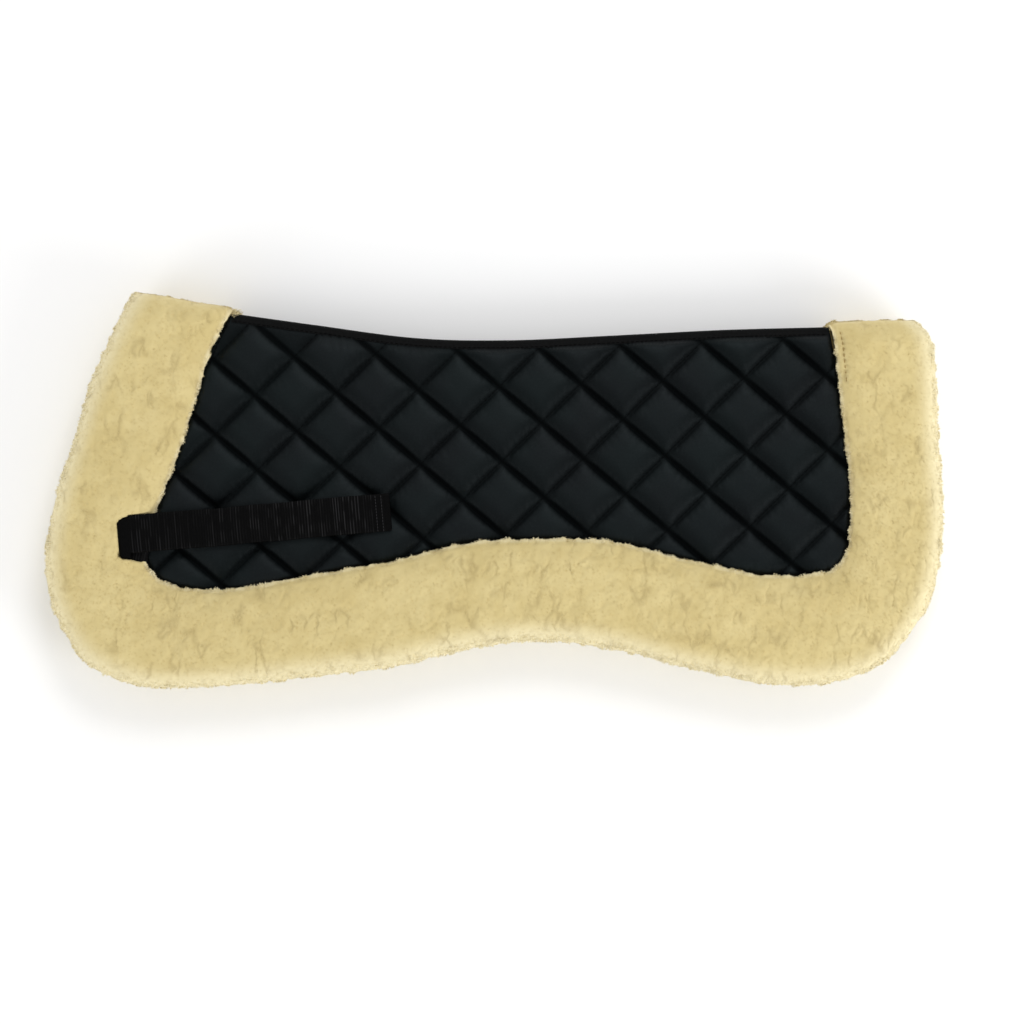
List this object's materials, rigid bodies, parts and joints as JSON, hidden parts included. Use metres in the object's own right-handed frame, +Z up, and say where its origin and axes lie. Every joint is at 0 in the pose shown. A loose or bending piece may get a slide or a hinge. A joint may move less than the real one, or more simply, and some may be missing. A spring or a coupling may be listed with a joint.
{
  "type": "saddle half pad",
  "caption": "Contoured quilted half pad with a rolled fleece border, folded flat along its curved spine, with a hook-and-loop girth strap on each side.",
  "frame": {"origin": "middle of the base of the folded pad, on the surface that its right half lies on", "axes": "+X from the withers end to the rear end, +Y towards the spine fold, +Z up, out of the left half's outer face"},
  "size_m": [0.6184, 0.2746, 0.0475],
  "materials": {
    "quilted_cotton": "matte black cotton, diamond quilted",
    "fleece": "matt cream curled fleece",
    "wadding": "matte white wadding",
    "binding_tape": "matte black woven tape",
    "webbing": "satin black ribbed webbing",
    "hook_and_loop": "matte black hook-and-loop tape",
    "thread": "satin black thread"
  },
  "bodies": {
    "right_half": {"right_quilted_cover": "quilted_cotton", "right_wadding": "wadding", "right_fleece_lining": "fleece", "right_fleece_border": "fleece", "right_border_core": "wadding", "right_spine_tape": "binding_tape", "right_seam_thread": "thread", "right_strap_base": "webbing", "right_anchor_stitch": "thread"},
    "left_half": {"left_quilted_cover": "quilted_cotton", "left_wadding": "wadding", "left_fleece_lining": "fleece", "left_fleece_border": "fleece", "left_border_core": "wadding", "left_spine_tape": "binding_tape", "left_seam_thread": "thread", "left_strap_base": "webbing", "left_anchor_stitch": "thread"},
    "left_strap": {"left_strap_flap": "webbing", "left_loop_tape": "hook_and_loop", "left_hook_tape": "hook_and_loop", "left_hem_stitch": "thread"},
    "right_strap": {"right_strap_flap": "webbing", "right_loop_tape": "hook_and_loop", "right_hook_tape": "hook_and_loop", "right_hem_stitch": "thread"}
  },
  "joints": [
    {"name": "spine_fold", "type": "hinge", "parent": "right_half", "child": "left_half", "pos_m": [0.02124, 0.12783, 0.0235], "axis": [-0.9993, 0.0369, 0], "range_deg": [0, 120]},
    {"name": "left_strap_fold", "type": "hinge", "parent": "left_half", "child": "left_strap", "pos_m": [-0.25526, -0.03129, 0.0446], "axis": [0.0859, -0.9963, 0], "range_deg": [0, 120]},
    {"name": "right_strap_fold", "type": "hinge", "parent": "right_half", "child": "right_strap", "pos_m": [-0.25526, -0.03129, 0.0024], "axis": [-0.0859, 0.9963, 0], "range_deg": [0, 120]}
  ]
}
